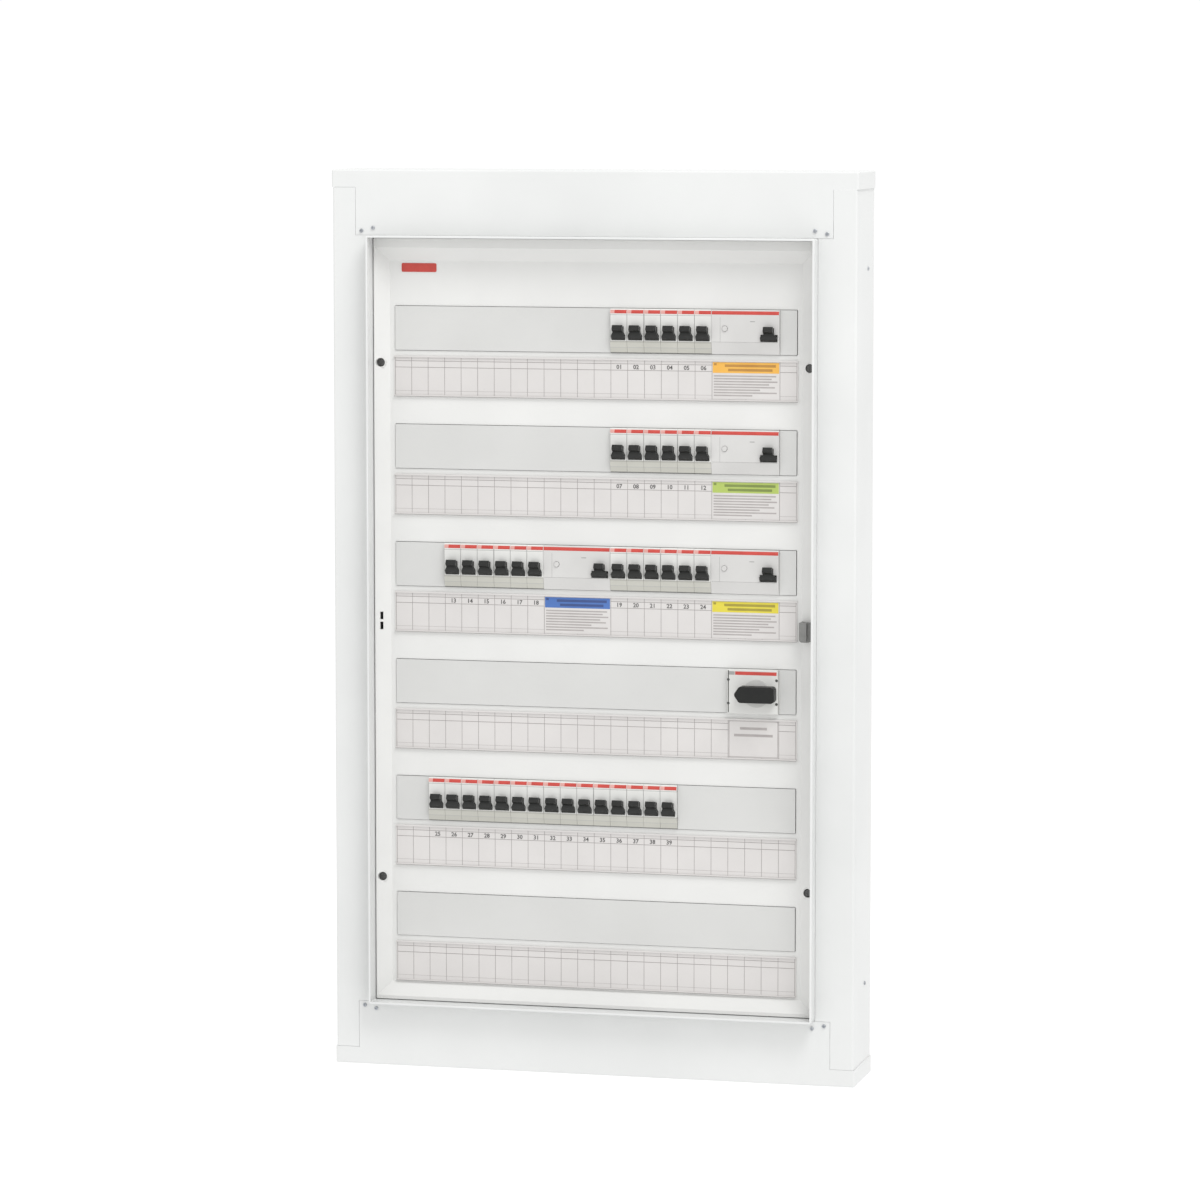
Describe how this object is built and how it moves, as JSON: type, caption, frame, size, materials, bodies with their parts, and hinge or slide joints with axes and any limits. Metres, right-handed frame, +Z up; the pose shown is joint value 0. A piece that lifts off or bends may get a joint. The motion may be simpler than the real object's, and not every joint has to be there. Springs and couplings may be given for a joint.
{
  "type": "breaker panel box",
  "caption": "Wall-mounted distribution board: steel enclosure in a trim surround, dished cover, rows of breakers, residual-current devices and a rotary main switch.",
  "frame": {"origin": "centre of the enclosure's back face, on the wall, at the centre of its wall holes", "axes": "+X to the right seen from the front, +Y back into the wall, +Z up"},
  "size_m": [0.548, 0.104, 0.924],
  "materials": {
    "box_paint": "white powder coat on sheet steel, satin",
    "surround_paint": "white powder coat on sheet steel, satin",
    "cover_plastic": "white moulded plastic, satin",
    "catch_plastic": "grey moulded plastic",
    "zinc_steel": "zinc-plated steel",
    "breaker_case": "light grey moulded thermoset",
    "residual_case": "light grey moulded thermoset",
    "switch_case": "light grey moulded thermoset",
    "toggle_plastic": "black moulded plastic",
    "button_plastic": "pale grey moulded plastic",
    "handle_plastic": "black moulded plastic, fine texture",
    "blank_plastic": "translucent light grey plastic",
    "clear_strip": "clear extruded plastic",
    "screw_steel": "zinc-plated steel"
  },
  "bodies": {
    "board": {"enclosure_box": "box_paint", "surround_caps": "surround_paint", "surround_sides": "surround_paint", "cover_tray": "cover_plastic", "door_catch": "catch_plastic", "rail_frame": "zinc_steel", "mcb_bodies": "breaker_case", "rcd_bodies": "residual_case", "main_switch_body": "switch_case", "blanking_strips": "blank_plastic", "label_strips": "clear_strip", "screws": "screw_steel"},
    "mcb_toggle_r1_m14": {"mcb_toggle_r1_m14": "toggle_plastic"},
    "mcb_toggle_r1_m15": {"mcb_toggle_r1_m15": "toggle_plastic"},
    "mcb_toggle_r1_m16": {"mcb_toggle_r1_m16": "toggle_plastic"},
    "mcb_toggle_r1_m17": {"mcb_toggle_r1_m17": "toggle_plastic"},
    "mcb_toggle_r1_m18": {"mcb_toggle_r1_m18": "toggle_plastic"},
    "mcb_toggle_r1_m19": {"mcb_toggle_r1_m19": "toggle_plastic"},
    "mcb_toggle_r2_m14": {"mcb_toggle_r2_m14": "toggle_plastic"},
    "mcb_toggle_r2_m15": {"mcb_toggle_r2_m15": "toggle_plastic"},
    "mcb_toggle_r2_m16": {"mcb_toggle_r2_m16": "toggle_plastic"},
    "mcb_toggle_r2_m17": {"mcb_toggle_r2_m17": "toggle_plastic"},
    "mcb_toggle_r2_m18": {"mcb_toggle_r2_m18": "toggle_plastic"},
    "mcb_toggle_r2_m19": {"mcb_toggle_r2_m19": "toggle_plastic"},
    "mcb_toggle_r3_m04": {"mcb_toggle_r3_m04": "toggle_plastic"},
    "mcb_toggle_r3_m05": {"mcb_toggle_r3_m05": "toggle_plastic"},
    "mcb_toggle_r3_m06": {"mcb_toggle_r3_m06": "toggle_plastic"},
    "mcb_toggle_r3_m07": {"mcb_toggle_r3_m07": "toggle_plastic"},
    "mcb_toggle_r3_m08": {"mcb_toggle_r3_m08": "toggle_plastic"},
    "mcb_toggle_r3_m09": {"mcb_toggle_r3_m09": "toggle_plastic"},
    "mcb_toggle_r3_m14": {"mcb_toggle_r3_m14": "toggle_plastic"},
    "mcb_toggle_r3_m15": {"mcb_toggle_r3_m15": "toggle_plastic"},
    "mcb_toggle_r3_m16": {"mcb_toggle_r3_m16": "toggle_plastic"},
    "mcb_toggle_r3_m17": {"mcb_toggle_r3_m17": "toggle_plastic"},
    "mcb_toggle_r3_m18": {"mcb_toggle_r3_m18": "toggle_plastic"},
    "mcb_toggle_r3_m19": {"mcb_toggle_r3_m19": "toggle_plastic"},
    "mcb_toggle_r5_m03": {"mcb_toggle_r5_m03": "toggle_plastic"},
    "mcb_toggle_r5_m04": {"mcb_toggle_r5_m04": "toggle_plastic"},
    "mcb_toggle_r5_m05": {"mcb_toggle_r5_m05": "toggle_plastic"},
    "mcb_toggle_r5_m06": {"mcb_toggle_r5_m06": "toggle_plastic"},
    "mcb_toggle_r5_m07": {"mcb_toggle_r5_m07": "toggle_plastic"},
    "mcb_toggle_r5_m08": {"mcb_toggle_r5_m08": "toggle_plastic"},
    "mcb_toggle_r5_m09": {"mcb_toggle_r5_m09": "toggle_plastic"},
    "mcb_toggle_r5_m10": {"mcb_toggle_r5_m10": "toggle_plastic"},
    "mcb_toggle_r5_m11": {"mcb_toggle_r5_m11": "toggle_plastic"},
    "mcb_toggle_r5_m12": {"mcb_toggle_r5_m12": "toggle_plastic"},
    "mcb_toggle_r5_m13": {"mcb_toggle_r5_m13": "toggle_plastic"},
    "mcb_toggle_r5_m14": {"mcb_toggle_r5_m14": "toggle_plastic"},
    "mcb_toggle_r5_m15": {"mcb_toggle_r5_m15": "toggle_plastic"},
    "mcb_toggle_r5_m16": {"mcb_toggle_r5_m16": "toggle_plastic"},
    "mcb_toggle_r5_m17": {"mcb_toggle_r5_m17": "toggle_plastic"},
    "rcd_toggle_r1_m20": {"rcd_toggle_r1_m20": "toggle_plastic"},
    "rcd_button_r1_m20": {"rcd_button_r1_m20": "button_plastic"},
    "rcd_toggle_r2_m20": {"rcd_toggle_r2_m20": "toggle_plastic"},
    "rcd_button_r2_m20": {"rcd_button_r2_m20": "button_plastic"},
    "rcd_toggle_r3_m10": {"rcd_toggle_r3_m10": "toggle_plastic"},
    "rcd_button_r3_m10": {"rcd_button_r3_m10": "button_plastic"},
    "rcd_toggle_r3_m20": {"rcd_toggle_r3_m20": "toggle_plastic"},
    "rcd_button_r3_m20": {"rcd_button_r3_m20": "button_plastic"},
    "main_switch_handle": {"main_switch_handle": "handle_plastic"}
  },
  "joints": [
    {"name": "mcb_r1_m14", "type": "hinge", "parent": "board", "child": "mcb_toggle_r1_m14", "pos_m": [0.02625, -0.0765, 0.2983], "axis": [1, 0, 0], "range_deg": [0, 64]},
    {"name": "mcb_r1_m15", "type": "hinge", "parent": "board", "child": "mcb_toggle_r1_m15", "pos_m": [0.04375, -0.0765, 0.2983], "axis": [1, 0, 0], "range_deg": [0, 64]},
    {"name": "mcb_r1_m16", "type": "hinge", "parent": "board", "child": "mcb_toggle_r1_m16", "pos_m": [0.06125, -0.0765, 0.2983], "axis": [1, 0, 0], "range_deg": [0, 64]},
    {"name": "mcb_r1_m17", "type": "hinge", "parent": "board", "child": "mcb_toggle_r1_m17", "pos_m": [0.07875, -0.0765, 0.2983], "axis": [1, 0, 0], "range_deg": [0, 64]},
    {"name": "mcb_r1_m18", "type": "hinge", "parent": "board", "child": "mcb_toggle_r1_m18", "pos_m": [0.09625, -0.0765, 0.2983], "axis": [1, 0, 0], "range_deg": [0, 64]},
    {"name": "mcb_r1_m19", "type": "hinge", "parent": "board", "child": "mcb_toggle_r1_m19", "pos_m": [0.11375, -0.0765, 0.2983], "axis": [1, 0, 0], "range_deg": [0, 64]},
    {"name": "mcb_r2_m14", "type": "hinge", "parent": "board", "child": "mcb_toggle_r2_m14", "pos_m": [0.02625, -0.0765, 0.1773], "axis": [1, 0, 0], "range_deg": [0, 64]},
    {"name": "mcb_r2_m15", "type": "hinge", "parent": "board", "child": "mcb_toggle_r2_m15", "pos_m": [0.04375, -0.0765, 0.1773], "axis": [1, 0, 0], "range_deg": [0, 64]},
    {"name": "mcb_r2_m16", "type": "hinge", "parent": "board", "child": "mcb_toggle_r2_m16", "pos_m": [0.06125, -0.0765, 0.1773], "axis": [1, 0, 0], "range_deg": [0, 64]},
    {"name": "mcb_r2_m17", "type": "hinge", "parent": "board", "child": "mcb_toggle_r2_m17", "pos_m": [0.07875, -0.0765, 0.1773], "axis": [1, 0, 0], "range_deg": [0, 64]},
    {"name": "mcb_r2_m18", "type": "hinge", "parent": "board", "child": "mcb_toggle_r2_m18", "pos_m": [0.09625, -0.0765, 0.1773], "axis": [1, 0, 0], "range_deg": [0, 64]},
    {"name": "mcb_r2_m19", "type": "hinge", "parent": "board", "child": "mcb_toggle_r2_m19", "pos_m": [0.11375, -0.0765, 0.1773], "axis": [1, 0, 0], "range_deg": [0, 64]},
    {"name": "mcb_r3_m04", "type": "hinge", "parent": "board", "child": "mcb_toggle_r3_m04", "pos_m": [-0.14875, -0.0765, 0.0563], "axis": [1, 0, 0], "range_deg": [0, 64]},
    {"name": "mcb_r3_m05", "type": "hinge", "parent": "board", "child": "mcb_toggle_r3_m05", "pos_m": [-0.13125, -0.0765, 0.0563], "axis": [1, 0, 0], "range_deg": [0, 64]},
    {"name": "mcb_r3_m06", "type": "hinge", "parent": "board", "child": "mcb_toggle_r3_m06", "pos_m": [-0.11375, -0.0765, 0.0563], "axis": [1, 0, 0], "range_deg": [0, 64]},
    {"name": "mcb_r3_m07", "type": "hinge", "parent": "board", "child": "mcb_toggle_r3_m07", "pos_m": [-0.09625, -0.0765, 0.0563], "axis": [1, 0, 0], "range_deg": [0, 64]},
    {"name": "mcb_r3_m08", "type": "hinge", "parent": "board", "child": "mcb_toggle_r3_m08", "pos_m": [-0.07875, -0.0765, 0.0563], "axis": [1, 0, 0], "range_deg": [0, 64]},
    {"name": "mcb_r3_m09", "type": "hinge", "parent": "board", "child": "mcb_toggle_r3_m09", "pos_m": [-0.06125, -0.0765, 0.0563], "axis": [1, 0, 0], "range_deg": [0, 64]},
    {"name": "mcb_r3_m14", "type": "hinge", "parent": "board", "child": "mcb_toggle_r3_m14", "pos_m": [0.02625, -0.0765, 0.0563], "axis": [1, 0, 0], "range_deg": [0, 64]},
    {"name": "mcb_r3_m15", "type": "hinge", "parent": "board", "child": "mcb_toggle_r3_m15", "pos_m": [0.04375, -0.0765, 0.0563], "axis": [1, 0, 0], "range_deg": [0, 64]},
    {"name": "mcb_r3_m16", "type": "hinge", "parent": "board", "child": "mcb_toggle_r3_m16", "pos_m": [0.06125, -0.0765, 0.0563], "axis": [1, 0, 0], "range_deg": [0, 64]},
    {"name": "mcb_r3_m17", "type": "hinge", "parent": "board", "child": "mcb_toggle_r3_m17", "pos_m": [0.07875, -0.0765, 0.0563], "axis": [1, 0, 0], "range_deg": [0, 64]},
    {"name": "mcb_r3_m18", "type": "hinge", "parent": "board", "child": "mcb_toggle_r3_m18", "pos_m": [0.09625, -0.0765, 0.0563], "axis": [1, 0, 0], "range_deg": [0, 64]},
    {"name": "mcb_r3_m19", "type": "hinge", "parent": "board", "child": "mcb_toggle_r3_m19", "pos_m": [0.11375, -0.0765, 0.0563], "axis": [1, 0, 0], "range_deg": [0, 64]},
    {"name": "mcb_r5_m03", "type": "hinge", "parent": "board", "child": "mcb_toggle_r5_m03", "pos_m": [-0.16625, -0.0765, -0.1857], "axis": [1, 0, 0], "range_deg": [0, 64]},
    {"name": "mcb_r5_m04", "type": "hinge", "parent": "board", "child": "mcb_toggle_r5_m04", "pos_m": [-0.14875, -0.0765, -0.1857], "axis": [1, 0, 0], "range_deg": [0, 64]},
    {"name": "mcb_r5_m05", "type": "hinge", "parent": "board", "child": "mcb_toggle_r5_m05", "pos_m": [-0.13125, -0.0765, -0.1857], "axis": [1, 0, 0], "range_deg": [0, 64]},
    {"name": "mcb_r5_m06", "type": "hinge", "parent": "board", "child": "mcb_toggle_r5_m06", "pos_m": [-0.11375, -0.0765, -0.1857], "axis": [1, 0, 0], "range_deg": [0, 64]},
    {"name": "mcb_r5_m07", "type": "hinge", "parent": "board", "child": "mcb_toggle_r5_m07", "pos_m": [-0.09625, -0.0765, -0.1857], "axis": [1, 0, 0], "range_deg": [0, 64]},
    {"name": "mcb_r5_m08", "type": "hinge", "parent": "board", "child": "mcb_toggle_r5_m08", "pos_m": [-0.07875, -0.0765, -0.1857], "axis": [1, 0, 0], "range_deg": [0, 64]},
    {"name": "mcb_r5_m09", "type": "hinge", "parent": "board", "child": "mcb_toggle_r5_m09", "pos_m": [-0.06125, -0.0765, -0.1857], "axis": [1, 0, 0], "range_deg": [0, 64]},
    {"name": "mcb_r5_m10", "type": "hinge", "parent": "board", "child": "mcb_toggle_r5_m10", "pos_m": [-0.04375, -0.0765, -0.1857], "axis": [1, 0, 0], "range_deg": [0, 64]},
    {"name": "mcb_r5_m11", "type": "hinge", "parent": "board", "child": "mcb_toggle_r5_m11", "pos_m": [-0.02625, -0.0765, -0.1857], "axis": [1, 0, 0], "range_deg": [0, 64]},
    {"name": "mcb_r5_m12", "type": "hinge", "parent": "board", "child": "mcb_toggle_r5_m12", "pos_m": [-0.00875, -0.0765, -0.1857], "axis": [1, 0, 0], "range_deg": [0, 64]},
    {"name": "mcb_r5_m13", "type": "hinge", "parent": "board", "child": "mcb_toggle_r5_m13", "pos_m": [0.00875, -0.0765, -0.1857], "axis": [1, 0, 0], "range_deg": [0, 64]},
    {"name": "mcb_r5_m14", "type": "hinge", "parent": "board", "child": "mcb_toggle_r5_m14", "pos_m": [0.02625, -0.0765, -0.1857], "axis": [1, 0, 0], "range_deg": [0, 64]},
    {"name": "mcb_r5_m15", "type": "hinge", "parent": "board", "child": "mcb_toggle_r5_m15", "pos_m": [0.04375, -0.0765, -0.1857], "axis": [1, 0, 0], "range_deg": [0, 64]},
    {"name": "mcb_r5_m16", "type": "hinge", "parent": "board", "child": "mcb_toggle_r5_m16", "pos_m": [0.06125, -0.0765, -0.1857], "axis": [1, 0, 0], "range_deg": [0, 64]},
    {"name": "mcb_r5_m17", "type": "hinge", "parent": "board", "child": "mcb_toggle_r5_m17", "pos_m": [0.07875, -0.0765, -0.1857], "axis": [1, 0, 0], "range_deg": [0, 64]},
    {"name": "rcd_r1_m20", "type": "hinge", "parent": "board", "child": "rcd_toggle_r1_m20", "pos_m": [0.1819, -0.0765, 0.2983], "axis": [1, 0, 0], "range_deg": [0, 64]},
    {"name": "rcd_test_r1_m20", "type": "slide", "parent": "board", "child": "rcd_button_r1_m20", "axis": [0, 1, 0], "range_m": [0, 0.0015], "stiffness_N_per_m": 250},
    {"name": "rcd_r2_m20", "type": "hinge", "parent": "board", "child": "rcd_toggle_r2_m20", "pos_m": [0.1819, -0.0765, 0.1773], "axis": [1, 0, 0], "range_deg": [0, 64]},
    {"name": "rcd_test_r2_m20", "type": "slide", "parent": "board", "child": "rcd_button_r2_m20", "axis": [0, 1, 0], "range_m": [0, 0.0015], "stiffness_N_per_m": 250},
    {"name": "rcd_r3_m10", "type": "hinge", "parent": "board", "child": "rcd_toggle_r3_m10", "pos_m": [0.0069, -0.0765, 0.0563], "axis": [1, 0, 0], "range_deg": [0, 64]},
    {"name": "rcd_test_r3_m10", "type": "slide", "parent": "board", "child": "rcd_button_r3_m10", "axis": [0, 1, 0], "range_m": [0, 0.0015], "stiffness_N_per_m": 250},
    {"name": "rcd_r3_m20", "type": "hinge", "parent": "board", "child": "rcd_toggle_r3_m20", "pos_m": [0.1819, -0.0765, 0.0563], "axis": [1, 0, 0], "range_deg": [0, 64]},
    {"name": "rcd_test_r3_m20", "type": "slide", "parent": "board", "child": "rcd_button_r3_m20", "axis": [0, 1, 0], "range_m": [0, 0.0015], "stiffness_N_per_m": 250},
    {"name": "main_switch", "type": "hinge", "parent": "board", "child": "main_switch_handle", "pos_m": [0.17075, -0.085, -0.0638], "axis": [0, 1, 0], "range_deg": [0, 90]}
  ]
}
